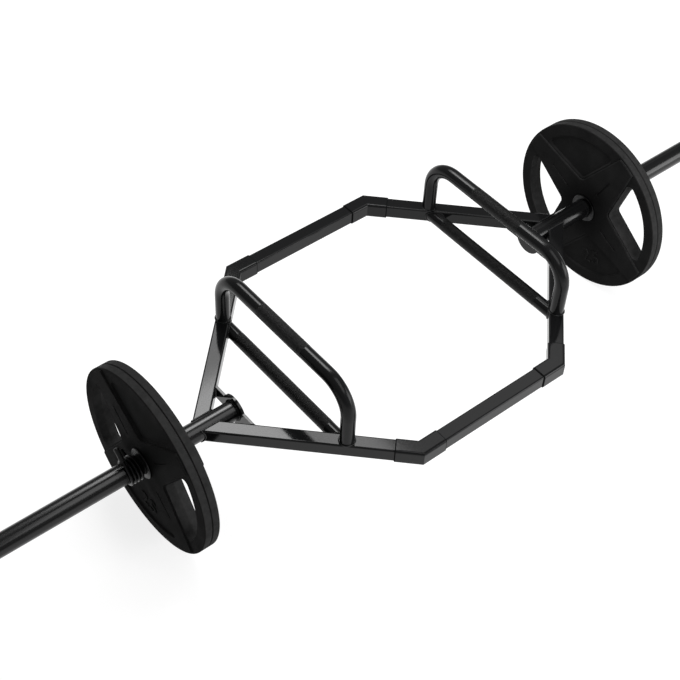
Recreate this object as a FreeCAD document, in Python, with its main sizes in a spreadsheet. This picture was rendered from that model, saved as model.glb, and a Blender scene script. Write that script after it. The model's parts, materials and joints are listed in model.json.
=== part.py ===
import FreeCAD, Part
import Sketcher
import math
import os
import re

# A hex trap bar with two plates and two spring collars.
# +X runs along the sleeves, -Y is the front and +Z is up.
# The origin is on the floor, midway between the plates.

os.makedirs("parts", exist_ok=True)
doc = FreeCAD.newDocument("hex_trap_bar")

# Millimetres, or degrees where the name says angle and a number where it says count.
SIZES = {
    # square tube of the hexagon
    "tube_width": 35,
    "tube_wall": 2.5,
    "tube_rounding": 4,
    "corner_reach": 205,
    "rail_reach": 341,
    "arm_angle": 45,
    # elbows that slip over the tube ends
    "elbow_wall": 2.35,
    "elbow_leg": 54.5,
    "elbow_seat": 15,
    "slip_gap": 0.15,
    # sleeves, gussets and end plugs
    "sleeve_diameter": 48,
    "sleeve_wall": 4,
    "sleeve_reach": 1080,
    "sleeve_bevel": 2,
    "weld_gap": 0.1,
    "gusset_setback": 96,
    "gusset_thickness": 6,
    "gusset_disc_diameter": 77,
    "plug_flange": 4,
    "plug_length": 22,
    "plug_gap": 0.2,
    "plug_bevel": 1.5,
    # handles
    "handle_reach": 319,
    "handle_height": 168,
    "handle_diameter": 34,
    "handle_wall": 2.5,
    "handle_bend": 74,
    "low_handle_diameter": 32,
    # hub bushes
    "plate_setoff": 126,
    "bush_length": 54,
    "bush_barrel_diameter": 61,
    "bush_flange_diameter": 73,
    "bush_flange_thickness": 4,
    "bush_bevel": 1.2,
    "running_gap": 0.08,
    # plates
    "plate_diameter": 450,
    "plate_width": 38,
    "plate_edge": 2.5,
    "plate_turn_angle": 19,
    "rim_face": 29,
    "rim_groove_width": 4,
    "rim_groove_depth": 2,
    "window_tip_reach": 97,
    "window_tip_radius": 14,
    "window_corner_radius": 13,
    "window_side_angle": 55,
    "window_draft_angle": 8,
    "arm_ledge": 3,
    "arm_bevel": 2,
    "sector_depth": 4,
    "sector_slope_angle": 45,
    "slit_width": 5,
    "slit_depth": 1.5,
    "slit_start": 70,
    "slit_end": 137,
    # iron cores inside the plates
    "core_skin": 4.5,
    "core_slope": 5,
    "core_width": 16,
    "core_hub_diameter": 115,
    "core_rim_skin": 11,
    "core_rim_width": 26,
    # spring collars
    "wire_diameter": 7,
    "coil_gap": 0.4,
    "coil_pitch": 8.6,
    "coil_count": 4,
    "leg_spread_angle": 40,
    "leg_lean_angle": 60,
    "collar_gap": 7,
    "leg_length": 62,
    "grip_diameter": 12,
    "grip_length": 32,
    "grip_end": 2.5,
    "grip_bevel": 1.5,
    # how far a cut runs past the material
    "cut_overrun": 10,
}

LEAST_COIL_GAP = 0.4

sheet = doc.addObject("Spreadsheet::Sheet", "Dims")
for row, (alias, size) in enumerate(SIZES.items(), start=1):
    sheet.set("A%d" % row, alias)
    sheet.set("B%d" % row, str(size))
    sheet.setAlias("B%d" % row, alias)
doc.recompute()

# Places that several pieces share, written as formulas of the sizes.
AXLE = "plate_diameter / 2"
VERTEX = "(corner_reach + rail_reach / tan(arm_angle))"
GUSSET_REACH = "(%s - gusset_setback)" % VERTEX
PLATE_REACH = "(%s + plate_setoff)" % VERTEX
LEG_REACH = "((%s - handle_reach) * tan(arm_angle))" % VERTEX
ELBOW_INSIDE = "(tube_width / 2 + slip_gap)"
HUB_WIDTH = "(bush_length - 2 * bush_flange_thickness - 2 * running_gap)"
COLLAR_REACH = "(%s + bush_length / 2 + collar_gap)" % PLATE_REACH
COIL_RADIUS = "(sleeve_diameter / 2 + coil_gap + wire_diameter / 2)"
COIL_SWEEP = "(360 * coil_count - 180 - leg_spread_angle)"

X_AXIS = FreeCAD.Vector(1, 0, 0)
Y_AXIS = FreeCAD.Vector(0, 1, 0)
Z_AXIS = FreeCAD.Vector(0, 0, 1)

# The sketcher's own numbers for its axes, its origin and the ends of a curve.
H_AXIS, V_AXIS = range(-1, -3, -1)
START, END, CENTRE = range(1, 4)
ORIGIN = (H_AXIS, START)

nodes = []


def formula(text):
    """Write the sheet's name in front of every size in a formula."""
    def full(match):
        word = match.group()
        return "Dims." + word if word in SIZES else word
    return re.sub(r"[a-z_]+", full, text)


def value(text):
    """The present value of a formula."""
    found = sheet.evalExpression(formula(text))
    return float(getattr(found, "Value", found))


def bind(item, name, text):
    item.setExpression(name, formula(text))


def place(item, base, axis=Z_AXIS, angle="0"):
    """Set an object at three formulas, turned about one axis."""
    item.Placement = FreeCAD.Placement(FreeCAD.Vector(), FreeCAD.Rotation(axis, value(angle)))
    for letter, text in zip("xyz", base):
        bind(item, "Placement.Base." + letter, text)
    if value(angle) != 0:
        bind(item, "Placement.Rotation.Angle", angle)


def new_body(name):
    return doc.addObject("PartDesign::Body", name)


def keep(item):
    """List an object as one of the finished pieces."""
    nodes.append(item)
    return item


def plane_sketch(body, role, name, offset="0", axis=None, angle="0", shift="0"):
    """A sketch on one of the body's own planes, moved along its normal and turned."""
    plane = next(item for item in body.Origin.OriginFeatures if item.Role == role)
    sketch = body.newObject("Sketcher::SketchObject", name)
    sketch.AttachmentSupport = [(plane, "")]
    sketch.MapMode = "FlatFace"
    if axis is not None:
        turn = FreeCAD.Rotation(axis, value(angle))
        sketch.AttachmentOffset = FreeCAD.Placement(FreeCAD.Vector(), turn)
        bind(sketch, "AttachmentOffset.Rotation.Angle", angle)
    bind(sketch, "AttachmentOffset.Base.y", shift)
    bind(sketch, "AttachmentOffset.Base.z", offset)
    return sketch


def limit(sketch, kind, *where):
    return sketch.addConstraint(Sketcher.Constraint(kind, *where))


def dimension(sketch, kind, text, *where):
    """Add a dimension that follows a formula."""
    index = limit(sketch, kind, *where, value(text))
    bind(sketch, "Constraints[%d]" % index, text)


def measure(sketch, kind, text, curve, end):
    """Hold one coordinate of a point at a formula, on either side of the origin."""
    if abs(value(text)) < 1e-9:
        limit(sketch, "PointOnObject", curve, end, V_AXIS if kind == "DistanceX" else H_AXIS)
    elif value(text) > 0:
        dimension(sketch, kind, text, *ORIGIN, curve, end)
    else:
        dimension(sketch, kind, "-(%s)" % text, curve, end, *ORIGIN)


def pin_point(sketch, curve, end, across, up):
    measure(sketch, "DistanceX", across, curve, end)
    measure(sketch, "DistanceY", up, curve, end)


def point(across, up):
    return FreeCAD.Vector(value(across), value(up), 0)


def draw_polygon(sketch, corners):
    """A closed outline of straight lines through corners given as pairs of formulas."""
    spots = [point(*corner) for corner in corners]
    for here, there in zip(spots, spots[1:] + spots[:1]):
        sketch.addGeometry(Part.LineSegment(here, there))
    for line, corner in enumerate(corners):
        before = (line - 1) % len(corners)
        limit(sketch, "Coincident", before, END, line, START)
        pin_point(sketch, line, START, *corner)


def draw_circle(sketch, radius):
    circle = sketch.addGeometry(Part.Circle(FreeCAD.Vector(), Z_AXIS, value(radius)))
    limit(sketch, "Coincident", circle, CENTRE, *ORIGIN)
    dimension(sketch, "Radius", radius, circle)


def arc(centre, radius, first, last):
    """A counter-clockwise arc between two angles in degrees."""
    circle = Part.Circle(centre, Z_AXIS, radius)
    return Part.ArcOfCircle(circle, math.radians(first), math.radians(last))


def draw_square(sketch, half, rounding):
    """A square with rounded corners about the sketch's origin."""
    start = len(sketch.Geometry)
    reach = value(half)
    bend = value(rounding)
    flat = reach - bend
    quarters = range(4)
    for quarter in quarters:
        turn = FreeCAD.Rotation(Z_AXIS, 90 * quarter)
        here = turn.multVec(FreeCAD.Vector(reach, -flat, 0))
        there = turn.multVec(FreeCAD.Vector(reach, flat, 0))
        centre = turn.multVec(FreeCAD.Vector(flat, flat, 0))
        sketch.addGeometry(Part.LineSegment(here, there))
        sketch.addGeometry(arc(centre, bend, 90 * quarter, 90 * quarter + 90))
    sides = [start + 2 * quarter for quarter in quarters]
    bends = [side + 1 for side in sides]
    for quarter in quarters:
        limit(sketch, "Tangent", sides[quarter], END, bends[quarter], START)
        limit(sketch, "Tangent", bends[quarter - 1], END, sides[quarter], START)
        limit(sketch, "Horizontal" if quarter % 2 else "Vertical", sides[quarter])
    for other in bends[1:]:
        limit(sketch, "Equal", bends[0], other)
    dimension(sketch, "Radius", rounding, bends[0])
    for side, kind, sign in zip(sides, ("DistanceX", "DistanceY") * 2, ("", "", "-", "-")):
        measure(sketch, kind, "%s(%s)" % (sign, half), side, START)


def notch_lines(offset, reach):
    """One side of a notch: its tip's centre, and where its side leaves the tip and meets a circle.

    The notch lies on the +x axis. Its sides spread from a rounded tip near the hub, and this
    side runs at an offset from the tip's centre.
    """
    spread = math.radians(value("window_side_angle"))
    along = FreeCAD.Vector(math.cos(spread), math.sin(spread), 0)
    outward = FreeCAD.Vector(-along.y, along.x, 0)
    tip = point("window_tip_reach", "0")
    near = tip + outward * offset
    inward = near.dot(along)
    run = math.sqrt(inward ** 2 - near.dot(near) + reach ** 2) - inward
    return tip, outward, near, near + along * run


def below(vector):
    return FreeCAD.Vector(vector.x, -vector.y, 0)


def polar_angle(vector):
    return math.degrees(math.atan2(vector.y, vector.x))


def hold_tip(sketch, curve, radius, quarter):
    """Fix the arc at a notch's tip, on the axis that a number of quarter turns leads to."""
    across, along = (("DistanceY", "DistanceX"), ("DistanceX", "DistanceY"))[quarter % 2]
    sign = (1, 1, -1, -1)[quarter]
    rise_sign = (1, -1, -1, 1)[quarter]
    limit(sketch, "PointOnObject", curve, CENTRE, V_AXIS if quarter % 2 else H_AXIS)
    measure(sketch, along, "%d * window_tip_reach" % sign, curve, CENTRE)
    dimension(sketch, "Radius", radius, curve)
    rise = "%s * cos(window_side_angle)" % radius
    measure(sketch, across, "%d * %s" % (rise_sign, rise), curve, START)
    measure(sketch, across, "%d * %s" % (-rise_sign, rise), curve, END)


def draw_window(sketch, grow, side):
    """A rounded kite on the sketch's +x side (side 1) or -x side (side -1).

    Two straight edges spread from a rounded tip near the hub to an arc about
    the axle. A positive grow moves the whole outline outward by that much.
    """
    start = len(sketch.Geometry)
    tip_radius = "(window_tip_radius + (%s))" % grow
    corner_radius = "(window_corner_radius + (%s))" % grow
    outer_radius = "(plate_diameter / 2 - rim_face + (%s))" % grow
    spread = value("window_side_angle")
    tip_size = value(tip_radius)
    corner_size = value(corner_radius)
    ring = value(outer_radius) - corner_size
    tip, outward, _, upper = notch_lines(tip_size - corner_size, ring)
    tip_edge = tip + outward * tip_size
    corner_edge = upper + outward * corner_size
    swing = polar_angle(upper)
    curves = [
        arc(tip, tip_size, 90 + spread, 270 - spread),
        Part.LineSegment(below(tip_edge), below(corner_edge)),
        arc(below(upper), corner_size, 270 - spread, 360 - swing),
        arc(FreeCAD.Vector(), value(outer_radius), -swing, swing),
        arc(upper, corner_size, swing, 90 + spread),
        Part.LineSegment(corner_edge, tip_edge),
    ]
    for curve in curves:
        if side < 0:
            curve.rotate(FreeCAD.Placement(FreeCAD.Vector(), FreeCAD.Rotation(Z_AXIS, 180)))
        sketch.addGeometry(curve)
    tip_arc, _, low_corner, outer_arc, high_corner, last = range(start, start + len(curves))
    for curve in range(start, last + 1):
        limit(sketch, "Tangent", last if curve == start else curve - 1, END, curve, START)
    limit(sketch, "Coincident", outer_arc, CENTRE, *ORIGIN)
    limit(sketch, "Equal", low_corner, high_corner)
    hold_tip(sketch, tip_arc, tip_radius, 1 - side)
    dimension(sketch, "Radius", corner_radius, low_corner)
    dimension(sketch, "Radius", outer_radius, outer_arc)


def draw_cross(sketch, grow, reach):
    """An X with four tapered arms: a disc of a given reach with a notch on each half axis.

    The notches follow the outline of the openings, grown by a formula.
    """
    tip_radius = "(window_tip_radius + (%s))" % grow
    spread = value("window_side_angle")
    tip, _, near, far = notch_lines(value(tip_radius), value(reach))
    swing = polar_angle(far)
    quarters = range(4)
    for quarter in quarters:
        for curve in (
            Part.LineSegment(below(far), below(near)),
            arc(tip, value(tip_radius), 90 + spread, 270 - spread),
            Part.LineSegment(near, far),
            arc(FreeCAD.Vector(), value(reach), swing, 90 - swing),
        ):
            curve.rotate(FreeCAD.Placement(FreeCAD.Vector(), FreeCAD.Rotation(Z_AXIS, 90 * quarter)))
            sketch.addGeometry(curve)
    for quarter in quarters:
        low_side, tip_arc, high_side, arm_end = range(4 * quarter, 4 * quarter + 4)
        limit(sketch, "Tangent", low_side, END, tip_arc, END)
        limit(sketch, "Tangent", tip_arc, START, high_side, START)
        limit(sketch, "Coincident", high_side, END, arm_end, START)
        limit(sketch, "Coincident", arm_end, END, (arm_end + 1) % sketch.GeometryCount, START)
        limit(sketch, "Coincident", arm_end, CENTRE, *ORIGIN)
        dimension(sketch, "Radius", reach, arm_end)
        hold_tip(sketch, tip_arc, tip_radius, quarter)


def pad(body, sketch, length, name, both_ways=False):
    feature = body.newObject("PartDesign::Pad", name)
    feature.Profile = sketch
    bind(feature, "Length", length)
    if both_ways:
        feature.SideType = "Symmetric"
    return feature


def pocket(body, sketch, depth, name, both_ways=False, backward=False, slope="0"):
    """Cut along the sketch's normal: against it, with it (backward) or both ways.

    With a slope, the walls lean in by that angle.
    """
    feature = body.newObject("PartDesign::Pocket", name)
    feature.Profile = sketch
    bind(feature, "Length", depth)
    bind(feature, "TaperAngle", "-(%s)" % slope)
    feature.Reversed = backward
    if both_ways:
        feature.SideType = "Symmetric"
    return feature


def revolve(body, sketch, name):
    """Turn a profile about the sketch's horizontal axis, which lies along the body's X."""
    feature = body.newObject("PartDesign::Revolution", name)
    feature.Profile = sketch
    feature.ReferenceAxis = (sketch, ["H_Axis"])
    return feature


def sweep(body, profile, path, edges, name):
    feature = body.newObject("PartDesign::AdditivePipe", name)
    feature.Profile = profile
    feature.Spine = (path, ["Edge%d" % (number + 1) for number in range(edges)])
    return feature


def dress(body, kind, base, chosen, size_name, size, name):
    """Fillet or bevel the edges of a feature that a test picks out."""
    doc.recompute()
    edges = []
    for number, edge in enumerate(base.Shape.Edges, start=1):
        if chosen(edge):
            edges.append("Edge%d" % number)
    feature = body.newObject("PartDesign::" + kind, name)
    feature.Base = (base, edges)
    bind(feature, size_name, size)
    return feature


def is_ring(edge, radius, along):
    """Whether an edge is a circle of this radius at this place along the body's X."""
    curve = edge.Curve
    if not isinstance(curve, Part.Circle):
        return False
    return abs(curve.Radius - value(radius)) < 1e-6 and abs(curve.Center.x - value(along)) < 1e-6


def side_angle(side, lean="0"):
    """The turn about Z for a piece on the right (1) or left (-1)."""
    return lean if side > 0 else "180 - (%s)" % lean


def make_rail(name, front):
    body = keep(new_body(name))
    section = plane_sketch(body, "YZ_Plane", name + "_section")
    draw_square(section, "tube_width / 2", "tube_rounding")
    draw_square(section, "tube_width / 2 - tube_wall", "tube_rounding - tube_wall / 2")
    pad(body, section, "2 * (corner_reach - elbow_seat)", name + "_tube", both_ways=True)
    place(body, ("0", "%d * rail_reach" % front, AXLE))


def make_arm(name, side, front):
    """A tube from a corner to the sleeve, coped where it meets the sleeve."""
    body = keep(new_body(name))
    length = "rail_reach / sin(arm_angle)"
    section = plane_sketch(body, "YZ_Plane", name + "_section", "elbow_seat")
    draw_square(section, "tube_width / 2", "tube_rounding")
    draw_square(section, "tube_width / 2 - tube_wall", "tube_rounding - tube_wall / 2")
    pad(body, section, "%s - elbow_seat" % length, name + "_tube")
    lean = "%d * arm_angle" % (side * front)
    cope = plane_sketch(body, "YZ_Plane", name + "_cope", length, Y_AXIS, lean)
    draw_circle(cope, "sleeve_diameter / 2 + weld_gap")
    pocket(body, cope, "4 * tube_width", name + "_cope_cut", both_ways=True)
    base = ("%d * corner_reach" % side, "%d * rail_reach" % front, AXLE)
    place(body, base, Z_AXIS, side_angle(side, "%d * arm_angle" % -front))


def make_corner(name, side, front):
    """A mitred elbow that slips over the ends of a rail and an arm."""
    body = keep(new_body(name))
    bend = -side * front
    profile = plane_sketch(body, "YZ_Plane", name + "_section", "-elbow_leg")
    draw_square(profile, "%s + elbow_wall" % ELBOW_INSIDE, "tube_rounding + slip_gap + elbow_wall")
    draw_square(profile, ELBOW_INSIDE, "tube_rounding + slip_gap")
    path = plane_sketch(body, "XY_Plane", name + "_path")
    far = ("elbow_leg * cos(arm_angle)", "%d * elbow_leg * sin(arm_angle)" % bend)
    path.addGeometry(Part.LineSegment(point("-elbow_leg", "0"), FreeCAD.Vector()))
    path.addGeometry(Part.LineSegment(FreeCAD.Vector(), point(*far)))
    pin_point(path, 0, START, "-elbow_leg", "0")
    pin_point(path, 0, END, "0", "0")
    limit(path, "Coincident", 0, END, 1, START)
    pin_point(path, 1, END, *far)
    elbow = sweep(body, profile, path, 2, name + "_elbow")
    elbow.Transition = "Right corner"
    base = ("%d * corner_reach" % side, "%d * rail_reach" % front, AXLE)
    place(body, base, Z_AXIS, side_angle(side))


def make_gusset(name, side):
    """A strip between the arms' inner faces, with a round disc that closes the sleeve."""
    body = keep(new_body(name))
    inner = "(%s - tube_width / 2 / sin(arm_angle))" % VERTEX
    near = "((%s - %s) * tan(arm_angle))" % (inner, GUSSET_REACH)
    far = "((%s - %s - gusset_thickness) * tan(arm_angle))" % (inner, GUSSET_REACH)
    strip = plane_sketch(body, "XY_Plane", name + "_strip")
    draw_polygon(strip, [
        ("0", "-" + near),
        ("gusset_thickness", "-" + far),
        ("gusset_thickness", far),
        ("0", near),
    ])
    pad(body, strip, "tube_width", name + "_strip_pad", both_ways=True)
    disc = plane_sketch(body, "YZ_Plane", name + "_disc")
    draw_circle(disc, "gusset_disc_diameter / 2")
    pad(body, disc, "gusset_thickness", name + "_disc_pad")
    place(body, ("%d * %s" % (side, GUSSET_REACH), "0", AXLE), Z_AXIS, side_angle(side))


def make_sleeve(name, side):
    body = keep(new_body(name))
    start = "(%s + gusset_thickness)" % GUSSET_REACH
    ring = plane_sketch(body, "YZ_Plane", name + "_ring", start)
    draw_circle(ring, "sleeve_diameter / 2")
    draw_circle(ring, "sleeve_diameter / 2 - sleeve_wall")
    tube = pad(body, ring, "sleeve_reach - " + start, name + "_tube")

    def outer_end(edge):
        return is_ring(edge, "sleeve_diameter / 2", "sleeve_reach")

    dress(body, "Chamfer", tube, outer_end, "Size", "sleeve_bevel", name + "_bevel")
    place(body, ("0", "0", AXLE), Z_AXIS, side_angle(side))


def make_end_cap(name, side):
    """A plug pushed into the sleeve, with a flange over the sleeve's end."""
    body = keep(new_body(name))
    flange = "(sleeve_diameter / 2 - sleeve_bevel)"
    plug = "(sleeve_diameter / 2 - sleeve_wall - plug_gap)"
    profile = plane_sketch(body, "XY_Plane", name + "_profile")
    draw_polygon(profile, [
        ("-plug_length", "0"),
        ("plug_flange", "0"),
        ("plug_flange", flange + " - plug_bevel"),
        ("plug_flange - plug_bevel", flange),
        ("0", flange),
        ("0", plug),
        ("plug_bevel - plug_length", plug),
        ("-plug_length", plug + " - plug_bevel"),
    ])
    revolve(body, profile, name + "_turned")
    place(body, ("%d * sleeve_reach" % side, "0", AXLE), Z_AXIS, side_angle(side))


def make_high_handle(name, side):
    """A bent tube that stands on the tops of two arms."""
    body = keep(new_body(name))
    ring = plane_sketch(body, "XY_Plane", name + "_ring", "tube_width / 2", shift="-" + LEG_REACH)
    draw_circle(ring, "handle_diameter / 2")
    draw_circle(ring, "handle_diameter / 2 - handle_wall")
    path = plane_sketch(body, "YZ_Plane", name + "_path")
    leg = value(LEG_REACH)
    foot = value("tube_width / 2")
    top = value("handle_height")
    bend = value("handle_bend")
    path.addGeometry(Part.LineSegment(FreeCAD.Vector(-leg, foot, 0), FreeCAD.Vector(-leg, top - bend, 0)))
    path.addGeometry(arc(FreeCAD.Vector(bend - leg, top - bend, 0), bend, 90, 180))
    path.addGeometry(Part.LineSegment(FreeCAD.Vector(bend - leg, top, 0), FreeCAD.Vector(leg - bend, top, 0)))
    path.addGeometry(arc(FreeCAD.Vector(leg - bend, top - bend, 0), bend, 0, 90))
    path.addGeometry(Part.LineSegment(FreeCAD.Vector(leg, top - bend, 0), FreeCAD.Vector(leg, foot, 0)))
    left_leg, left_bend, grip, right_bend, right_leg = range(5)
    limit(path, "Tangent", left_leg, END, left_bend, END)
    limit(path, "Tangent", left_bend, START, grip, START)
    limit(path, "Tangent", grip, END, right_bend, END)
    limit(path, "Tangent", right_bend, START, right_leg, START)
    limit(path, "Vertical", left_leg)
    limit(path, "Horizontal", grip)
    limit(path, "Vertical", right_leg)
    pin_point(path, left_leg, START, "-" + LEG_REACH, "tube_width / 2")
    pin_point(path, right_leg, END, LEG_REACH, "tube_width / 2")
    measure(path, "DistanceY", "handle_height", grip, START)
    dimension(path, "Radius", "handle_bend", left_bend)
    dimension(path, "Radius", "handle_bend", right_bend)
    sweep(body, ring, path, 5, name + "_tube")
    place(body, ("%d * handle_reach" % side, "0", AXLE))


def make_low_handle(name, side):
    """A straight tube whose ends are cut to the slant of the arms' inner faces."""
    body = keep(new_body(name))
    ring = plane_sketch(body, "XZ_Plane", name + "_ring")
    draw_circle(ring, "low_handle_diameter / 2")
    draw_circle(ring, "low_handle_diameter / 2 - handle_wall")
    face = "(%s - tube_width / 2 / cos(arm_angle))" % LEG_REACH
    radius = "low_handle_diameter / 2"
    pad(body, ring, "2 * %s + 2 * low_handle_diameter" % face, name + "_tube", both_ways=True)
    ends = plane_sketch(body, "XY_Plane", name + "_ends")
    wide = "(%s + cut_overrun)" % radius
    near = "(%s - %s * tan(arm_angle))" % (face, wide)
    deep = "(%s + %s * tan(arm_angle))" % (face, wide)
    past = "(%s + low_handle_diameter + cut_overrun)" % face
    draw_polygon(ends, [
        (wide, near),
        (wide, past),
        ("-" + wide, past),
        ("-" + wide, deep),
    ])
    pocket(body, ends, "2 * low_handle_diameter", name + "_back_cut", both_ways=True)
    fronts = plane_sketch(body, "XY_Plane", name + "_fronts")
    draw_polygon(fronts, [
        (wide, "-" + near),
        ("-" + wide, "-" + deep),
        ("-" + wide, "-" + past),
        (wide, "-" + past),
    ])
    pocket(body, fronts, "2 * low_handle_diameter", name + "_front_cut", both_ways=True)
    place(body, ("%d * handle_reach" % side, "0", AXLE), Z_AXIS, side_angle(side))


def make_bush(name, side):
    """A flanged steel spool: the plate turns on its barrel, and it slides on the sleeve."""
    body = keep(new_body(name))
    bore = "(sleeve_diameter / 2 + running_gap)"
    flange = "bush_flange_diameter / 2"
    barrel = "bush_barrel_diameter / 2"
    end = "bush_length / 2"
    step = "(bush_length / 2 - bush_flange_thickness)"
    profile = plane_sketch(body, "XY_Plane", name + "_profile")
    draw_polygon(profile, [
        ("bush_bevel - " + end, bore),
        (end + " - bush_bevel", bore),
        (end, bore + " + bush_bevel"),
        (end, flange + " - bush_bevel"),
        (end + " - bush_bevel", flange),
        (step, flange),
        (step, barrel),
        ("-" + step, barrel),
        ("-" + step, flange),
        ("bush_bevel - " + end, flange),
        ("-" + end, flange + " - bush_bevel"),
        ("-" + end, bore + " + bush_bevel"),
    ])
    revolve(body, profile, name + "_turned")
    place(body, ("%d * %s" % (side, PLATE_REACH), "0", AXLE))


def plate_place(item, side, turn):
    place(item, ("%d * %s" % (side, PLATE_REACH), "0", AXLE), X_AXIS, turn)


def make_plate_form(name):
    """The moulded outside of a plate: a disc, a raised X, two openings and two sunk sectors."""
    body = new_body(name)
    bore = "(bush_barrel_diameter / 2 + running_gap)"
    radius = "plate_diameter / 2"
    half = [
        ("plate_width / 2", bore),
        ("plate_width / 2", radius),
        ("rim_groove_width / 2", radius),
    ]
    groove = [("0", radius + " - rim_groove_depth")]
    other_half = [("-(%s)" % along, height) for along, height in reversed(half)]
    profile = plane_sketch(body, "XY_Plane", name + "_profile")
    draw_polygon(profile, half + groove + other_half)
    turned = revolve(body, profile, name + "_turned")

    def rim_edge(edge):
        return any(is_ring(edge, radius, end) for end in ("plate_width / 2", "-plate_width / 2"))

    dress(body, "Fillet", turned, rim_edge, "Radius", "plate_edge", name + "_edges")

    cross = plane_sketch(body, "YZ_Plane", name + "_cross")
    draw_cross(cross, "arm_ledge", radius + " - 2 * plate_edge")
    draw_circle(cross, bore)
    raised = pad(body, cross, HUB_WIDTH, name + "_cross_pad", both_ways=True)

    def cross_edge(edge):
        top = value(HUB_WIDTH) / 2
        ends = [edge.valueAt(end).x for end in edge.ParameterRange]
        is_bore = is_ring(edge, bore, "%s / 2" % HUB_WIDTH) or is_ring(edge, bore, "-%s / 2" % HUB_WIDTH)
        return not is_bore and all(abs(abs(end) - top) < 1e-6 for end in ends)

    dress(body, "Chamfer", raised, cross_edge, "Size", "arm_bevel", name + "_cross_bevel")

    slits = []
    for face, label in ((1, "right"), (-1, "left")):
        cuts = [
            ("opening", "plate_width", "window_draft_angle", "0"),
            ("sector", "sector_depth", "sector_slope_angle", "90"),
        ]
        for kind, depth, slope, angle in cuts:
            full = "%s_%s_%s" % (name, label, kind)
            outline = plane_sketch(body, "YZ_Plane", full, "%d * plate_width / 2" % face, Z_AXIS, angle)
            for side in (1, -1):
                draw_window(outline, "0", side)
            pocket(body, outline, depth, full + "_cut", backward=face < 0, slope=slope)
        full = "%s_%s_slit" % (name, label)
        slit = plane_sketch(body, "YZ_Plane", full, "%d * %s / 2" % (face, HUB_WIDTH), Z_AXIS, "45")
        draw_polygon(slit, [
            ("slit_start", "-slit_width / 2"),
            ("slit_end", "-slit_width / 2"),
            ("slit_end", "slit_width / 2"),
            ("slit_start", "slit_width / 2"),
        ])
        slits.append(pocket(body, slit, "slit_depth", full + "_cut", backward=face < 0))
    pattern = body.newObject("PartDesign::PolarPattern", name + "_slits")
    pattern.Originals = slits
    axle = next(item for item in body.Origin.OriginFeatures if item.Role == "X_Axis")
    pattern.Axis = (axle, [""])
    pattern.Angle = 360
    pattern.Occurrences = 4
    body.Tip = pattern
    return body


def make_plate_core(name):
    """The iron core: a web with the same two openings, a thicker rim and a hub."""
    body = keep(new_body(name))
    bore = "(bush_barrel_diameter / 2 + running_gap)"
    hub = "(%s / 2 - core_skin)" % HUB_WIDTH
    rim = "(plate_diameter / 2 - rim_face + core_skin)"
    half = [
        (hub, bore),
        (hub, "core_hub_diameter / 2"),
        ("core_width / 2", "core_hub_diameter / 2 + core_slope"),
        ("core_width / 2", rim),
        ("core_rim_width / 2", rim + " + core_slope"),
        ("core_rim_width / 2", "plate_diameter / 2 - core_rim_skin"),
    ]
    other_half = [("-(%s)" % along, radius) for along, radius in reversed(half)]
    profile = plane_sketch(body, "XY_Plane", name + "_profile")
    draw_polygon(profile, half + other_half)
    revolve(body, profile, name + "_turned")
    hole = plane_sketch(body, "YZ_Plane", name + "_openings")
    for side in (1, -1):
        draw_window(hole, "core_skin", side)
    pocket(body, hole, "core_rim_width + cut_overrun", name + "_openings_cut", both_ways=True)
    return body


def make_plate(name, side, turn):
    form = make_plate_form(name + "_form")
    core = make_plate_core(name + "_core")
    plate_place(form, side, turn)
    plate_place(core, side, turn)
    rubber = keep(doc.addObject("Part::Cut", name + "_rubber"))
    rubber.Base = form
    rubber.Tool = core


def coil_point(turned):
    """A point of the coil's centre line, and the way the wire runs there.

    The coil climbs along +X. Its legs leave it on either side and both point to +Z,
    spread by the leg angle.
    """
    radius = value(COIL_RADIUS)
    climb = value("coil_pitch") / math.tau
    angle = math.radians(value("180 + leg_spread_angle / 2")) + turned
    spot = FreeCAD.Vector(climb * turned, radius * math.cos(angle), radius * math.sin(angle))
    way = FreeCAD.Vector(climb, -radius * math.sin(angle), radius * math.cos(angle))
    return spot, way.normalize()


def arc_through(start, way, end):
    """The circular arc that leaves start in the given direction and reaches end."""
    chord = end - start
    normal = way.cross(chord).cross(way).normalize()
    radius = chord.dot(chord) / (2 * chord.dot(normal))
    centre = start + normal * radius
    middle = (start + end) * 0.5 - centre
    return Part.Arc(start, centre + middle.normalize() * radius, end).toShape()


def biarc(first, first_way, last, last_way):
    """Two arcs that join two points and keep both directions."""
    chord = last - first
    ways = first_way + last_way
    spread = 2 * (1 - first_way.dot(last_way))
    along = chord.dot(ways)
    reach = (math.sqrt(along ** 2 + spread * chord.dot(chord)) - along) / spread
    middle = (first + last + (first_way - last_way) * reach) * 0.5
    middle_way = (last - last_way * reach - first - first_way * reach).normalize()
    return [arc_through(first, first_way, middle), arc_through(middle, middle_way, last)]


def coil_path():
    """The wire's centre line: a straight leg, half turns as biarcs, and a straight leg."""
    sweep_turn = math.radians(value(COIL_SWEEP))
    halves = math.ceil(sweep_turn / math.pi)
    stops = [coil_point(sweep_turn * step / halves) for step in range(halves + 1)]
    leg = value("leg_length")
    first, first_way = stops[0]
    last, last_way = stops[-1]
    edges = [Part.LineSegment(first - first_way * leg, first).toShape()]
    for here, there in zip(stops, stops[1:]):
        edges += biarc(*here, *there)
    edges.append(Part.LineSegment(last, last + last_way * leg).toShape())
    return Part.Wire(edges), (first - first_way * leg, first_way * -1), (last + last_way * leg, last_way)


def least_coil_gap(path):
    """The least space between turns of the wire, measured on points of the centre line."""
    step = value("wire_diameter") / 4
    spots = path.discretize(Distance=step)
    apart = math.ceil(math.pi * value(COIL_RADIUS) / step)
    least = min((spots[near] - spots[far]).Length
                for near in range(len(spots)) for far in range(near + apart, len(spots)))
    return least - value("wire_diameter")


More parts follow.
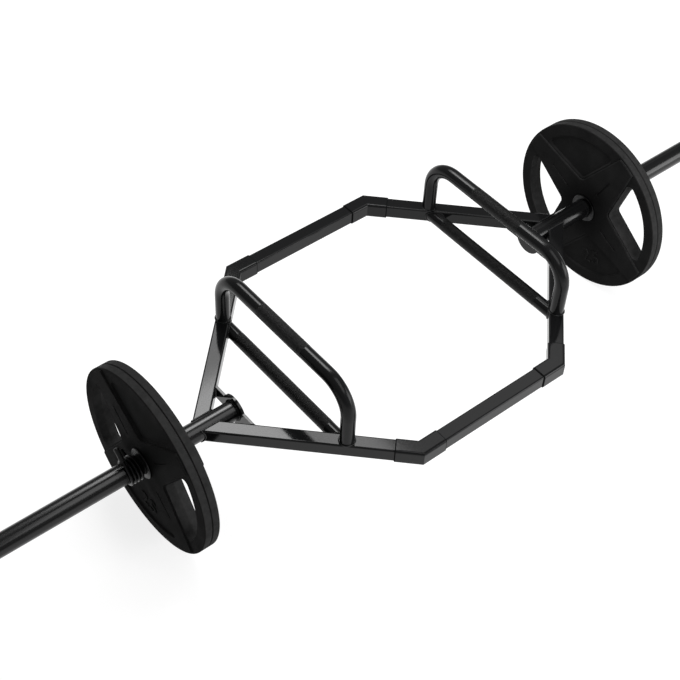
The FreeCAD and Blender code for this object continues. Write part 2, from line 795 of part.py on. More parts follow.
def make_collar(name, side):
    """A spring collar: one coiled wire with two legs, and a grip on each leg."""
    path, first_tip, last_tip = coil_path()
    gap = least_coil_gap(path)
    print("%s: least gap between turns %.2f mm" % (name, gap))
    if gap <= LEAST_COIL_GAP:
        raise ValueError("the turns of the coil are too close")
    tip, way = first_tip
    ring = Part.Wire(Part.makeCircle(value("wire_diameter") / 2, tip, way))
    shell = Part.BRepOffsetAPI.MakePipeShell(path)
    shell.add(ring)
    shell.build()
    shell.makeSolid()
    spring = keep(doc.addObject("Part::Feature", name + "_spring"))
    spring.Shape = Part.Solid(shell.shape())
    outward = FreeCAD.Rotation(Z_AXIS, value(side_angle(side)))
    lean = FreeCAD.Rotation(X_AXIS, -value("leg_lean_angle"))
    base = FreeCAD.Vector(side * value(COLLAR_REACH + " + wire_diameter / 2"), 0, value(AXLE))
    seat = FreeCAD.Placement(base, lean.multiply(outward))
    spring.Placement = seat
    for label, (tip, way) in (("inner", first_tip), ("outer", last_tip)):
        grip = make_grip("%s_%s_grip" % (name, label))
        grip.Placement = seat.multiply(FreeCAD.Placement(tip, FreeCAD.Rotation(X_AXIS, way)))


def make_grip(name):
    """A moulded grip pushed over the end of a leg, which stops at the grip's closed end."""
    body = keep(new_body(name))
    bore = "(wire_diameter / 2 + slip_gap)"
    outside = "grip_diameter / 2"
    profile = plane_sketch(body, "XY_Plane", name + "_profile")
    draw_polygon(profile, [
        ("0", "0"),
        ("grip_end", "0"),
        ("grip_end", outside + " - grip_bevel"),
        ("grip_end - grip_bevel", outside),
        ("grip_end + grip_bevel - grip_length", outside),
        ("grip_end - grip_length", outside + " - grip_bevel"),
        ("grip_end - grip_length", bore),
        ("0", bore),
    ])
    revolve(body, profile, name + "_turned")
    return body


for front, end_name in ((-1, "front"), (1, "rear")):
    make_rail(end_name + "_rail", front)
    for side, side_name in ((-1, "left"), (1, "right")):
        make_arm("%s_%s_arm" % (end_name, side_name), side, front)
        make_corner("%s_%s_corner" % (end_name, side_name), side, front)

for side, side_name, turn in ((-1, "left", "0"), (1, "right", "-plate_turn_angle")):
    make_gusset(side_name + "_gusset", side)
    make_sleeve(side_name + "_sleeve", side)
    make_end_cap(side_name + "_end_cap", side)
    make_high_handle(side_name + "_high_handle", side)
    make_low_handle(side_name + "_low_handle", side)
    make_bush(side_name + "_bush", side)
    make_plate(side_name + "_plate", side, turn)
    make_collar(side_name + "_collar", side)

doc.recompute()

for item in doc.Objects:
    if "Invalid" in item.State or "Error" in item.State:
        raise ValueError("%s did not build: %s" % (item.Label, item.State))
    if item.TypeId == "PartDesign::Pocket" and item.Shape.Volume >= item.BaseFeature.Shape.Volume:
        raise ValueError("%s cuts nothing" % item.Label)

for item in nodes:
    shape = item.Shape
    if shape.isNull() or not shape.isValid() or len(shape.Solids) != 1:
        raise ValueError("%s is not one valid solid" % item.Label)
    shape.exportStep("parts/%s.step" % item.Label)
    box = shape.optimalBoundingBox()
    print("%-24s %9.1f cm3  x %8.1f %8.1f  y %7.1f %7.1f  z %6.1f %6.1f" % (
        item.Label, shape.Volume / 1000, box.XMin, box.XMax, box.YMin, box.YMax, box.ZMin, box.ZMax))
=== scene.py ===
import json
import math
import bpy
from mathutils import Matrix, Vector


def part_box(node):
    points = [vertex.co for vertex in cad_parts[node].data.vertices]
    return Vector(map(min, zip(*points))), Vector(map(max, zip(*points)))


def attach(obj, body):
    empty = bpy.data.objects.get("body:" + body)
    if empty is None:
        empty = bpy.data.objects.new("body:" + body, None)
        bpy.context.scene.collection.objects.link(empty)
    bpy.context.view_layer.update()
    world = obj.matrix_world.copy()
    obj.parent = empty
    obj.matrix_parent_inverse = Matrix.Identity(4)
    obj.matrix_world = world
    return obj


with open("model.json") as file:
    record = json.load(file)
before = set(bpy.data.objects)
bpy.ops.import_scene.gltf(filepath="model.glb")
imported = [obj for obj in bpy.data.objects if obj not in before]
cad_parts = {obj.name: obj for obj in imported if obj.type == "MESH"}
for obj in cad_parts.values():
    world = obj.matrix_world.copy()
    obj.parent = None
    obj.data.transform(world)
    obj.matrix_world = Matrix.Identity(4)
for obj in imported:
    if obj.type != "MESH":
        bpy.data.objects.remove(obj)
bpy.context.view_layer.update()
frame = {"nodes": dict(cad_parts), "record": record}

# Metres in the row frame: +X along the sleeves, -Y to the front, +Z up.
nodes = frame["nodes"]

SIDES = (("left", -1), ("right", 1))
ENDS = (("front", -1), ("rear", 1))


def middle_and_half(node):
    """The middle of a node's box at rest, and half its size."""
    low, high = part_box(node)
    return (low + high) / 2, (high - low) / 2


# Sizes and places of the solids, taken from the right side, which the left side mirrors.
SLANT = math.sqrt(2)            # the arms run at 45 degrees
_, rail_half = middle_and_half("front_rail")
sleeve_middle, sleeve_half = middle_and_half("right_sleeve")
gusset_middle, gusset_half = middle_and_half("right_gusset")
handle_middle, handle_half = middle_and_half("right_high_handle")
_, low_half = middle_and_half("right_low_handle")
plate_middle, _ = middle_and_half("right_plate_rubber")

AXLE_Z = sleeve_middle.z
SLEEVE_RADIUS = sleeve_half.z
TUBE_HALF = rail_half.z
GUSSET_INNER_X = gusset_middle.x - gusset_half.x
GUSSET_OUTER_X = gusset_middle.x + gusset_half.x
ARM_INNER_X = GUSSET_INNER_X + gusset_half.y    # where the arms' inner faces would cross
VERTEX_X = ARM_INNER_X + TUBE_HALF * SLANT      # where the arms' middle lines cross
HANDLE_X = handle_middle.x
HANDLE_RADIUS = handle_half.x
GRIP_Z = handle_middle.z + handle_half.z - HANDLE_RADIUS
LEG_Y = handle_half.y - HANDLE_RADIUS
LOW_RADIUS = low_half.x
PLATE_X = plate_middle.x
PLATE_TURN = {"left": 0.0, "right": -19.0}
SECTOR_FACE = 0.015             # half the width left between the sunk sectors


# The camera, fitted to the photo.
PHOTO_PX = 680
SENSOR = 36.0
FAR_CLIP = 500


def aim_camera(azimuth, elevation, roll, target, distance, focal_px):
    az, el, ro = (math.radians(v) for v in (azimuth, elevation, roll))
    back = Vector((-math.sin(az) * math.cos(el), -math.cos(az) * math.cos(el), math.sin(el)))
    right = Vector((math.cos(az), -math.sin(az), 0))
    up = back.cross(right)
    right, up = right * math.cos(ro) + up * math.sin(ro), up * math.cos(ro) - right * math.sin(ro)
    data = bpy.data.cameras.new("photo_camera")
    data.sensor_width = SENSOR
    data.lens = focal_px / PHOTO_PX * SENSOR
    data.clip_end = FAR_CLIP
    camera = bpy.data.objects.new("photo_camera", data)
    place = Matrix((right, up, back)).transposed().to_4x4()
    place.translation = Vector(target) + back * distance
    camera.matrix_world = place
    bpy.context.collection.objects.link(camera)
    bpy.context.scene.camera = camera


aim_camera(azimuth=41.395, elevation=47.499, roll=3.115, target=(-0.1364, 0.0206, AXLE_Z),
           distance=3.2225, focal_px=1395.57)


# Materials.
class Graph:
    """A material under construction: makes nodes and joins them."""

    def __init__(self, name, colour, roughness, metallic=0.0, specular=0.5):
        self.material = bpy.data.materials.new(name)
        self.material.use_nodes = True
        self.tree = self.material.node_tree
        self.shader = self.tree.nodes["Principled BSDF"]
        self.shader.inputs["Base Color"].default_value = (*colour, 1)
        self.shader.inputs["Roughness"].default_value = roughness
        self.shader.inputs["Metallic"].default_value = metallic
        self.shader.inputs["Specular IOR Level"].default_value = specular
        place = self.node("ShaderNodeTexCoord")
        self.spot = place.outputs["Object"]
        self.facing = place.outputs["Normal"]

    def node(self, kind, **settings):
        made = self.tree.nodes.new(kind)
        for key, setting in settings.items():
            setattr(made, key, setting)
        return made

    def feed(self, socket, source):
        """Join a source to a socket, or set the socket to a plain value."""
        if isinstance(source, bpy.types.NodeSocket):
            self.tree.links.new(source, socket)
        else:
            socket.default_value = source

    def sums(self, kind, *sources):
        made = self.node("ShaderNodeMath", operation=kind)
        for socket, source in zip(made.inputs, sources):
            self.feed(socket, source)
        return made.outputs[0]

    def axes(self, vector=None):
        """The X, Y and Z of a vector, or of the place on the piece."""
        split = self.node("ShaderNodeSeparateXYZ")
        self.feed(split.inputs[0], vector or self.spot)
        return split.outputs

    def axle_radius(self):
        """The distance from the sleeves' axis."""
        x, y, z = self.axes()
        height = self.sums("SUBTRACT", z, AXLE_Z)
        squares = self.sums("ADD", self.sums("MULTIPLY", y, y), self.sums("MULTIPLY", height, height))
        return self.sums("SQRT", squares)

    def stretch(self, x, y, z):
        made = self.node("ShaderNodeMapping")
        self.feed(made.inputs["Vector"], self.spot)
        made.inputs["Scale"].default_value = (x, y, z)
        return made.outputs[0]

    def noise(self, scale, detail, spot=None):
        made = self.node("ShaderNodeTexNoise")
        self.feed(made.inputs["Vector"], spot or self.spot)
        made.inputs["Scale"].default_value = scale
        made.inputs["Detail"].default_value = detail
        return made.outputs["Fac"]

    def between(self, source, low, high, start=0.3, end=0.7, smooth=False):
        """A source spread from start..end over low..high."""
        made = self.node("ShaderNodeMapRange")
        if smooth:
            made.interpolation_type = "SMOOTHSTEP"
        for name, value in (("Value", source), ("From Min", start), ("From Max", end),
                            ("To Min", low), ("To Max", high)):
            self.feed(made.inputs[name], value)
        return made.outputs["Result"]

    def blend(self, amount, first, second):
        """Two colours mixed."""
        made = self.node("ShaderNodeMix", data_type="RGBA")
        self.feed(made.inputs["Factor"], amount)
        for socket, colour in ((made.inputs[6], first), (made.inputs[7], second)):
            self.feed(socket, (*colour, 1) if isinstance(colour, tuple) else colour)
        return made.outputs[2]

    def mix(self, amount, first, second):
        """Two numbers mixed."""
        made = self.node("ShaderNodeMix", data_type="FLOAT")
        for socket, source in zip(made.inputs[:1] + made.inputs[2:4], (amount, first, second)):
            self.feed(socket, source)
        return made.outputs[0]

    def colour(self, source):
        self.feed(self.shader.inputs["Base Color"], source)

    def rough(self, source):
        self.feed(self.shader.inputs["Roughness"], source)

    def bump(self, height, depth):
        """A bump on top of those that are there already."""
        made = self.node("ShaderNodeBump")
        made.inputs["Distance"].default_value = depth
        made.inputs["Strength"].default_value = 1.0
        self.feed(made.inputs["Height"], height)
        below = self.shader.inputs["Normal"]
        if below.is_linked:
            self.feed(made.inputs["Normal"], below.links[0].from_socket)
        self.feed(below, made.outputs["Normal"])


PAINT_BLACK = (0.0045, 0.0046, 0.0048)
PAINT_GREY = (0.0075, 0.0077, 0.008)
PAINT_SPECULAR = 0.22
FRAME_ROUGHNESS = 0.07
# Painted shade: the elbow seams are kept matte so that they always read dark, like the shaded gaps at the
# elbows' ends.
GAP_SHADE_ROUGHNESS = 0.7
GAP_SHADE_SPECULAR = 0.02
PEEL_DEPTH = 0.00003            # of the orange peel


def paint(name, roughness, specular=PAINT_SPECULAR):
    """Black powder coat: a little orange peel, and gloss that varies from place to place."""
    graph = Graph(name, PAINT_BLACK, roughness, specular=specular)
    cloud = graph.noise(scale=9, detail=4)
    speck = graph.noise(scale=900, detail=2)
    graph.colour(graph.blend(graph.between(speck, 0.0, 1.0), PAINT_BLACK, PAINT_GREY))
    graph.rough(graph.between(cloud, roughness * 0.8, roughness * 1.25))
    graph.bump(graph.noise(scale=420, detail=2), PEEL_DEPTH)
    return graph


HANDLE_ROUGHNESS = 0.17
HANDLE_SPECULAR = 0.16
HIGH_KNURL = 0.078              # half lengths of the knurled grips
LOW_KNURL = 0.165
KNURL_BLACK = (0.002, 0.002, 0.002)
KNURL_ROUGHNESS = 0.42
KNURL_PITCH = 0.0016
KNURL_DEPTH = 0.00022
KNURL_FADE = 0.0015             # half the length over which the knurling starts


def knurled_paint(name, height, radius, half_length):
    """Handle paint with a band of fine diamond knurling in the middle of the grip."""
    graph = paint(name, HANDLE_ROUGHNESS, HANDLE_SPECULAR)
    x, y, z = graph.axes()
    around = graph.sums("ARCTAN2", graph.sums("SUBTRACT", z, height),
                        graph.sums("SUBTRACT", graph.sums("ABSOLUTE", x), HANDLE_X))
    arc = graph.sums("MULTIPLY", around, radius)
    ridges = []
    for kind in ("ADD", "SUBTRACT"):
        slope = graph.sums("MULTIPLY", graph.sums(kind, arc, y), math.pi / KNURL_PITCH)
        ridges.append(graph.sums("ABSOLUTE", graph.sums("SINE", slope)))
    diamond = graph.sums("MULTIPLY", *ridges)
    along = graph.sums("ABSOLUTE", y)
    band = graph.between(along, 1.0, 0.0, half_length - KNURL_FADE, half_length + KNURL_FADE, smooth=True)
    graph.bump(graph.sums("MULTIPLY", diamond, band), KNURL_DEPTH)
    smooth = graph.shader.inputs["Roughness"].links[0].from_socket
    graph.rough(graph.mix(band, smooth, KNURL_ROUGHNESS))
    base = graph.shader.inputs["Base Color"].links[0].from_socket
    graph.colour(graph.blend(band, base, KNURL_BLACK))
    return graph.material


SLEEVE_BLACK = (0.0025, 0.0026, 0.0027)
SLEEVE_GREY = (0.0055, 0.0056, 0.0058)
SLEEVE_ROUGHNESS = (0.16, 0.28)
SLEEVE_SPECULAR = 0.36
LINE_DEPTH = 0.00002


def sleeve_paint():
    """Gloss black with faint lines along the sleeve where plates are pushed on."""
    graph = paint("sleeve_paint", sum(SLEEVE_ROUGHNESS) / 2, SLEEVE_SPECULAR)
    lines = graph.noise(scale=1.0, detail=3, spot=graph.stretch(3, 420, 420))
    graph.colour(graph.blend(graph.between(lines, 0.0, 1.0), SLEEVE_BLACK, SLEEVE_GREY))
    graph.rough(graph.between(lines, *SLEEVE_ROUGHNESS))
    graph.bump(lines, LINE_DEPTH)
    return graph.material


# Painted shade: towards the hub the rubber's colour is mixed towards this black.
RUBBER_HUB_SHADE = (0, 0, 0)
RUBBER_DARK = (0.011, 0.011, 0.011)
RUBBER_PALE = (0.022, 0.022, 0.022)
# Scuffs and painted light: the paler colour of the rim and the walls.
RUBBER_SCUFFED_AND_LIT = (0.029, 0.029, 0.029)
RUBBER_ROUGHNESS = (0.5, 0.68)
RUBBER_SPECULAR = 0.008
HUB_SHADE_INNER_RADIUS = 0.04             # painted shade: from here out the rubber lightens away from the hub
HUB_SHADE_OUTER_RADIUS = 0.12
HUB_SHADE_MIX = 0.4
WALL_FACING = (0.3, 0.6)        # how far a wall looks along the axle, from full scuffs and painted light to none
LEAST_SCUFF = 0.35
PEBBLE_DEPTH = 0.00012


def rubber():
    """Moulded black rubber: fine pebble, slow mottling, painted shade darkening the hub, and scuffs with
    painted light on the rim and walls.
    """
    graph = Graph("plate_rubber", RUBBER_DARK, sum(RUBBER_ROUGHNESS) / 2, specular=RUBBER_SPECULAR)
    mottle = graph.noise(scale=22, detail=5)
    pebble = graph.noise(scale=1100, detail=3)
    tone = graph.between(graph.sums("MULTIPLY", mottle, pebble), 0.0, 1.0, 0.12, 0.42)
    # Painted shade: the rubber darkens towards the hub, where the collar and sleeve shade it.
    hub_shade = graph.between(graph.axle_radius(), HUB_SHADE_MIX, 1.0, HUB_SHADE_INNER_RADIUS, HUB_SHADE_OUTER_RADIUS, smooth=True)
    face = graph.blend(hub_shade, RUBBER_HUB_SHADE, graph.blend(tone, RUBBER_DARK, RUBBER_PALE))
    # Scuffs and painted light: the rim and the walls, which face across the axle, are made paler, with random
    # scuffs on top.
    across = graph.sums("ABSOLUTE", graph.axes(graph.facing)[0])
    wall = graph.between(across, 1.0, 0.0, *WALL_FACING, smooth=True)
    scuff = graph.between(graph.noise(scale=70, detail=6), LEAST_SCUFF, 1.0)
    graph.colour(graph.blend(graph.sums("MULTIPLY", wall, scuff), face, RUBBER_SCUFFED_AND_LIT))
    graph.rough(graph.between(mottle, *RUBBER_ROUGHNESS))
    graph.bump(pebble, PEBBLE_DEPTH)
    graph.bump(graph.noise(scale=180, detail=3), PEBBLE_DEPTH)
    return graph.material


IRON_DARK = (0.035, 0.035, 0.037)
IRON_PALE = (0.08, 0.08, 0.082)
IRON_ROUGHNESS = 0.6
IRON_METALLIC = 0.7
IRON_DEPTH = 0.0002


def cast_iron():
    """Grainy grey iron."""
    graph = Graph("plate_core", IRON_DARK, IRON_ROUGHNESS, metallic=IRON_METALLIC)
    grain = graph.noise(scale=500, detail=4)
    graph.colour(graph.blend(graph.between(grain, 0.0, 1.0), IRON_DARK, IRON_PALE))
    graph.bump(grain, IRON_DEPTH)
    return graph.material


STEEL_BRIGHT = (0.03, 0.03, 0.0305)
STEEL_TARNISHED = (0.012, 0.012, 0.0125)
STEEL_ROUGHNESS = (0.2, 0.4)
STEEL_ANISOTROPY = 0.8
RINGS_PER_METRE = 2600.0
RING_DEPTH = 0.00002


def turned_steel():
    """Steel with the fine rings that turning leaves."""
    graph = Graph("bush_steel", STEEL_BRIGHT, sum(STEEL_ROUGHNESS) / 2, metallic=1.0)
    graph.shader.inputs["Anisotropic"].default_value = STEEL_ANISOTROPY
    around = graph.node("ShaderNodeTangent", direction_type="RADIAL", axis="X")
    graph.feed(graph.shader.inputs["Tangent"], around.outputs[0])
    joined = graph.node("ShaderNodeCombineXYZ")
    graph.feed(joined.inputs[0], graph.sums("MULTIPLY", graph.axle_radius(), RINGS_PER_METRE))
    graph.feed(joined.inputs[1], graph.sums("MULTIPLY", graph.axes()[0], RINGS_PER_METRE))
    rings = graph.noise(scale=1.0, detail=2, spot=joined.outputs[0])
    tarnish = graph.noise(scale=60, detail=4)
    graph.colour(graph.blend(graph.between(tarnish, 0.0, 1.0), STEEL_BRIGHT, STEEL_TARNISHED))
    graph.rough(graph.between(rings, *STEEL_ROUGHNESS))
    graph.bump(rings, RING_DEPTH)
    return graph.material


WIRE_BLACK = (0.004, 0.004, 0.0042)
WIRE_GREY = (0.01, 0.01, 0.0105)
WIRE_ROUGHNESS = (0.26, 0.4)
WIRE_METALLIC = 0.8
WIRE_DEPTH = 0.00002


def spring_steel():
    """Drawn wire with a dark oxide finish."""
    graph = Graph("spring_wire", WIRE_BLACK, sum(WIRE_ROUGHNESS) / 2, metallic=WIRE_METALLIC)
    drawn = graph.noise(scale=700, detail=3)
    patch = graph.noise(scale=40, detail=4)
    graph.colour(graph.blend(graph.between(patch, 0.0, 1.0), WIRE_BLACK, WIRE_GREY))
    graph.rough(graph.between(drawn, *WIRE_ROUGHNESS))
    graph.bump(drawn, WIRE_DEPTH)
    return graph.material


PLASTIC_BLACK = (0.006, 0.006, 0.006)
PLASTIC_GREY = (0.011, 0.011, 0.011)
PLASTIC_SPECULAR = 0.25
PLUG_ROUGHNESS = 0.5
GRIP_ROUGHNESS = 0.42
SPARK_DEPTH = 0.00008


def plastic(name, roughness):
    """Moulded black plastic with a fine spark finish."""
    graph = Graph(name, PLASTIC_BLACK, roughness, specular=PLASTIC_SPECULAR)
    spark = graph.noise(scale=1600, detail=2)
    cloud = graph.between(graph.noise(scale=45, detail=3), 0.0, 1.0)
    graph.colour(graph.blend(cloud, PLASTIC_BLACK, PLASTIC_GREY))
    graph.rough(graph.between(spark, roughness * 0.85, roughness * 1.15))
    graph.bump(spark, SPARK_DEPTH)
    return graph.material


frame_paint = paint("frame_paint", FRAME_ROUGHNESS).material
# Painted shade: matte paint for the beads that stand in for the gaps at the elbows' ends.
gap_shade_paint = paint("elbow_gap_shade_paint", GAP_SHADE_ROUGHNESS, GAP_SHADE_SPECULAR).material
high_paint = knurled_paint("high_handle_paint", GRIP_Z, HANDLE_RADIUS, HIGH_KNURL)
low_paint = knurled_paint("low_handle_paint", AXLE_Z, LOW_RADIUS, LOW_KNURL)
finishes = {
    "frame_paint": frame_paint,
    "sleeve_paint": sleeve_paint(),
    "end_plug": plastic("end_plug", PLUG_ROUGHNESS),
    "plate_rubber": rubber(),
    "plate_core": cast_iron(),
    "bush_steel": turned_steel(),
    "spring_wire": spring_steel(),
    "collar_grip": plastic("collar_grip", GRIP_ROUGHNESS),
}


def dress(obj, material):
    obj.data.materials.clear()
    obj.data.materials.append(material)


for entry in frame["record"]["subparts"]:
    name = entry["node"]
    if "high_handle" in name:
        dress(nodes[name], high_paint)
    elif "low_handle" in name:
        dress(nodes[name], low_paint)
    else:
        dress(nodes[name], finishes[entry["material_slot"]])


def add_piece(name, mesh, material, body):
    """A piece of the scene's own, which rides on a body."""
    obj = bpy.data.objects.new(name, mesh)
    dress(obj, material)
    bpy.context.collection.objects.link(obj)
    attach(obj, body)


# Weld beads, and the matte seams at the elbows' ends, which stand in for the shade in the gaps there.
BEAD_SIDES = 8
BEAD_STEP = 0.0011
RIPPLE_LENGTH = 0.0032
WELD_RIPPLE = 0.16              # how much the ripples swell a bead
SLOW_SWELLS = 5                 # along a whole bead, a third as high as its ripples
END_TAPER = 0.25                # how thin an open bead is at its ends
TAPER_STEPS = 3


def resample(path, step):
    """Points at even steps along a path, with how far along each one is, and the path's length."""
    found = []
    run = 0.0
    for here, there in zip(path, path[1:]):
        length = (there - here).length
        count = max(1, round(length / step))
        for k in range(count):
            found.append((here.lerp(there, k / count), run + length * k / count))
        run += length
    return found, run


def bead(name, path, radius, closed=True, material=frame_paint, ripple=WELD_RIPPLE):
    """A round bead along a path of points: rippled like a weld, or smooth, as for the seams that stand in for
    the shaded gaps at the elbows' ends.
    """
    path = [Vector(p) for p in path]
    if closed:
        path.append(path[0])
    spots, total = resample(path, BEAD_STEP)
    if not closed:
        spots.append((path[-1], total))
    count = len(spots)
    ripples = max(1, round(total / RIPPLE_LENGTH))
    points = []
    normal = None
    for k, (spot, run) in enumerate(spots):
        before = spots[k - 1][0] if closed or k else spot
        after = spots[(k + 1) % count][0] if closed or k + 1 < count else spot
        way = (after - before).normalized()
        normal = normal or way.orthogonal()
        normal = (normal - way * normal.dot(way)).normalized()
        side = way.cross(normal)
        swell = 1 + ripple * math.sin(math.tau * ripples * run / total)
        swell += ripple / 3 * math.sin(math.tau * SLOW_SWELLS * run / total)
        if not closed:
            swell *= min(1.0, END_TAPER + min(k, count - 1 - k) / TAPER_STEPS)
        for r in range(BEAD_SIDES):
            turn = math.tau * r / BEAD_SIDES
            points.append(spot + (normal * math.cos(turn) + side * math.sin(turn)) * radius * swell)
    faces = []
    for k in range(count if closed else count - 1):
        for r in range(BEAD_SIDES):
            a, b = k * BEAD_SIDES, (k + 1) % count * BEAD_SIDES
            s = (r + 1) % BEAD_SIDES
            faces.append((a + r, b + r, b + s, a + s))
    if not closed:
        faces.append(tuple(range(BEAD_SIDES))[::-1])
        faces.append(tuple(range((count - 1) * BEAD_SIDES, count * BEAD_SIDES)))
    mesh = bpy.data.meshes.new(name)
    mesh.from_pydata(points, [], faces)
    mesh.validate()
    mesh.polygons.foreach_set("use_smooth", [True] * len(mesh.polygons))
    add_piece(name, mesh, material, "frame")


SEAT = 0.0006                   # how far a bead's middle stands off the corner that it fills
TUBE_BEAD = 0.0021
STRIP_BEAD = 0.0022
DISC_BEAD = 0.0024
ELBOW_GAP_SHADE_RADIUS = 0.0019
TUBE_ROUNDING = 0.004


def ring(radius, count=72):
    """Points of a circle in a plane, as pairs."""
    turns = [math.tau * k / count for k in range(count)]
    return [(radius * math.cos(turn), radius * math.sin(turn)) for turn in turns]


def square_ring():
    """Points round a square tube, as pairs, with rounded corners."""
    flat = TUBE_HALF - TUBE_ROUNDING
    reach = TUBE_ROUNDING + SEAT
    steps = 6
    found = []
    for quarter, (a, b) in enumerate(((1, 1), (-1, 1), (-1, -1), (1, -1))):
        for k in range(steps + 1):
            turn = math.tau / 4 * (quarter + k / steps)
            found.append((a * flat + reach * math.cos(turn), b * flat + reach * math.sin(turn)))
    return found


def elbow_ends(corner, sx, sy):
    """Round the rail and round the arm, where they leave an elbow."""
    low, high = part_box(corner + "_corner")
    elbow_half = (high.z - low.z) / 2
    mouth_x = min(abs(low.x), abs(high.x)) - SEAT
    rail_y = max(abs(low.y), abs(high.y)) - elbow_half
    rail_gap_shade = [(sx * mouth_x, sy * (rail_y + a), AXLE_Z + b) for a, b in square_ring()]
    skew = elbow_half / SLANT
    away = SEAT / SLANT
    arm_x = max(abs(low.x), abs(high.x)) - skew + away
    arm_y = min(abs(low.y), abs(high.y)) + skew - away
    arm_gap_shade = [(sx * (arm_x + a / SLANT), sy * (arm_y + a / SLANT), AXLE_Z + b) for a, b in square_ring()]
    return rail_gap_shade, arm_gap_shade


def handle_foot(sx, sy):
    """Round a raised handle's leg, on top of an arm."""
    height = AXLE_Z + TUBE_HALF + SEAT
    return [(sx * HANDLE_X + a, sy * LEG_Y + b, height) for a, b in ring(HANDLE_RADIUS + SEAT)]


def low_handle_end(sx, sy):
    """Round a low handle's mitred end, on an arm's inner face."""
    return [(sx * (HANDLE_X + a), sy * (ARM_INNER_X - HANDLE_X - a - SEAT), AXLE_Z + b)
            for a, b in ring(LOW_RADIUS + SEAT)]


def arm_end(sx, sy):
    """Up one side of an arm's coped end and down the other, on the sleeve."""
    steps = 12
    levels = [TUBE_HALF * (2 * k / steps - 1) for k in range(steps + 1)]
    seam = []
    for edge, order in ((1, levels), (-1, levels[::-1])):
        for level in order:
            reach = math.sqrt((SLEEVE_RADIUS + SEAT) ** 2 - level ** 2)
            along = VERTEX_X - reach + edge * (TUBE_HALF + SEAT) * SLANT
            seam.append((sx * along, sy * reach, AXLE_Z + level))
    return seam


def gusset_end(sx, sy, face):
    """Up one face of a gusset's strip, where it meets an arm."""
    top = TUBE_HALF - STRIP_BEAD / 2
    return [(sx * face, sy * (ARM_INNER_X - face), AXLE_Z + level) for level in (-top, top)]


def disc_ring(sx):
    """Round the sleeve, where it meets the gusset's disc."""
    return [(sx * (GUSSET_OUTER_X + SEAT), a, AXLE_Z + b) for a, b in ring(SLEEVE_RADIUS + SEAT)]


for side, sx in SIDES:
    for end, sy in ENDS:
        corner = "%s_%s" % (end, side)
        bead(corner + "_handle_weld", handle_foot(sx, sy), TUBE_BEAD)
        bead(corner + "_low_handle_weld", low_handle_end(sx, sy), TUBE_BEAD)
        bead(corner + "_arm_weld", arm_end(sx, sy), TUBE_BEAD)
        for label, seam in zip(("rail", "arm"), elbow_ends(corner, sx, sy)):
            # Painted shade: a dark matte bead where the rail and the arm leave each elbow.
            bead("%s_elbow_%s_seam" % (corner, label), seam, ELBOW_GAP_SHADE_RADIUS, material=gap_shade_paint, ripple=0.0)
        for label, face in (("inner", GUSSET_INNER_X), ("outer", GUSSET_OUTER_X)):
            bead("%s_gusset_%s_weld" % (corner, label), gusset_end(sx, sy, face), STRIP_BEAD, closed=False)
    bead(side + "_disc_weld", disc_ring(sx), DISC_BEAD)


# Raised numbers on the plates.
NUMBER = "25"
NUMBER_HEIGHT = 0.056
NUMBER_SPACING = 1.12
NUMBER_RADIUS = 0.150           # how far below the axle its middle is
NUMBER_RISE = 0.0018
NUMBER_BEVEL = 0.0004


def raised_number(name, side, sx, face):
    """The weight, raised on the lower sunk sector of one face (-1 looks to -X, 1 to +X)."""
    data = bpy.data.curves.new(name, "FONT")
    data.body = NUMBER
    data.align_x = "CENTER"
    data.align_y = "CENTER"
    data.size = NUMBER_HEIGHT
    data.space_character = NUMBER_SPACING
    data.extrude = NUMBER_RISE
    data.bevel_depth = NUMBER_BEVEL
    text = bpy.data.objects.new(name + "_text", data)
    bpy.context.collection.objects.link(text)
    bpy.context.view_layer.update()
    mesh = bpy.data.meshes.new_from_object(text.evaluated_get(bpy.context.evaluated_depsgraph_get()))
    bpy.data.objects.remove(text)
    outward = Vector((face, 0, 0))
    up = Vector((0, 0, 1))
    place = Matrix((up.cross(outward), up, outward)).transposed().to_4x4()
    place.translation = Vector((face * SECTOR_FACE, 0, -NUMBER_RADIUS))
    turn = Matrix.Rotation(math.radians(PLATE_TURN[side]), 4, "X")
    mesh.transform(Matrix.Translation((sx * PLATE_X, 0, AXLE_Z)) @ turn @ place)
    mesh.name = name
    add_piece(name, mesh, finishes["plate_rubber"], side + "_plate")


for side, sx in SIDES:
    for label, face in (("inner", -sx), ("outer", sx)):
        raised_number("%s_plate_%s_number" % (side, label), side, sx, face)


# Floor and light.
FLOOR_REACH = 150.0
FLOOR_SHADE = 0.3               # the floor's own colour, which takes the shadow
FLOOR_GLOW = 0.8                # what makes it white to the camera, to gloss and to glass
WORLD_SHADE = 0.26


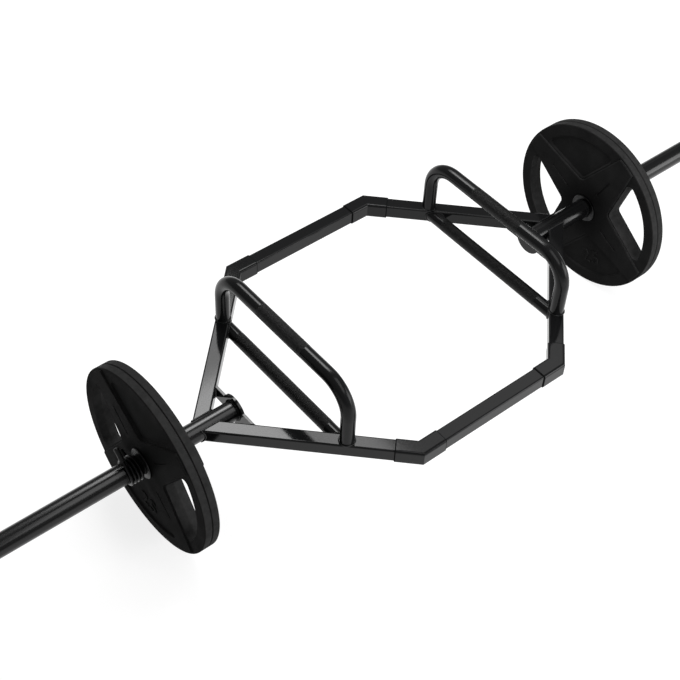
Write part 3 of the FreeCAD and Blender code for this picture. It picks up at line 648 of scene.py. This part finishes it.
def floor_material():
    material = bpy.data.materials.new("floor")
    material.use_nodes = True
    tree = material.node_tree
    shader = tree.nodes["Principled BSDF"]
    shader.inputs["Base Color"].default_value = (FLOOR_SHADE, FLOOR_SHADE, FLOOR_SHADE, 1)
    shader.inputs["Roughness"].default_value = 1.0
    shader.inputs["Specular IOR Level"].default_value = 0.0
    shader.inputs["Emission Color"].default_value = (1, 1, 1, 1)
    path = tree.nodes.new("ShaderNodeLightPath")
    seen = path.outputs["Is Camera Ray"]
    for ray in ("Is Glossy Ray", "Is Transmission Ray"):
        either = tree.nodes.new("ShaderNodeMath")
        either.operation = "MAXIMUM"
        tree.links.new(seen, either.inputs[0])
        tree.links.new(path.outputs[ray], either.inputs[1])
        seen = either.outputs[0]
    level = tree.nodes.new("ShaderNodeMath")
    level.operation = "MULTIPLY"
    level.inputs[1].default_value = FLOOR_GLOW
    tree.links.new(seen, level.inputs[0])
    tree.links.new(level.outputs[0], shader.inputs["Emission Strength"])
    return material


def floor():
    corners = [(x * FLOOR_REACH, y * FLOOR_REACH, 0) for x, y in ((-1, -1), (1, -1), (1, 1), (-1, 1))]
    mesh = bpy.data.meshes.new("floor")
    mesh.from_pydata(corners, [], [range(len(corners))])
    mesh.materials.append(floor_material())
    obj = bpy.data.objects.new("floor", mesh)
    bpy.context.collection.objects.link(obj)


def softbox(name, centre, aim, width, height, radiance, in_gloss=True):
    """A soft area light of a given brightness, seen in glossy surfaces or not."""
    data = bpy.data.lights.new(name, "AREA")
    data.shape = "RECTANGLE"
    data.size = width
    data.size_y = height
    data.energy = radiance * math.pi * width * height
    lamp = bpy.data.objects.new(name, data)
    lamp.location = centre
    lamp.rotation_euler = (Vector(centre) - Vector(aim)).to_track_quat("Z", "Y").to_euler()
    lamp.visible_glossy = in_gloss
    bpy.context.collection.objects.link(lamp)


floor()
world = bpy.data.worlds.new("studio")
world.use_nodes = True
backdrop = world.node_tree.nodes["Background"]
backdrop.inputs["Color"].default_value = (WORLD_SHADE, WORLD_SHADE, WORLD_SHADE, 1)
bpy.context.scene.world = world
softbox("rear_softbox", centre=(0.30, 1.30, 2.25), aim=(0.30, 1.30, 0), width=1.15, height=1.6, radiance=6.0)
softbox("key_softbox", centre=(0.22, 1.10, 2.20), aim=(0.22, 1.10, 0), width=0.72, height=0.8, radiance=8.0)
softbox("right_softbox", centre=(1.30, 0.95, 2.30), aim=(1.30, 0.95, 0), width=1.2, height=1.1, radiance=1.35)
softbox("top_softbox", centre=(0.10, -1.30, 2.25), aim=(0.10, -1.30, 0), width=1.2, height=2.0, radiance=2.7)
softbox("front_softbox", centre=(2.90, -3.00, 1.25), aim=(0.3, 0, 0.2), width=2.6, height=2.2, radiance=4.5)
# The fill lights the matte rubber, and leaves no streak on the tubes.
softbox("rim_fill", centre=(0.35, -1.60, 0.55), aim=(0.35, 0, 0.2), width=1.2, height=0.6, radiance=8.0,
        in_gloss=False)
bpy.context.scene.view_settings.view_transform = "Standard"
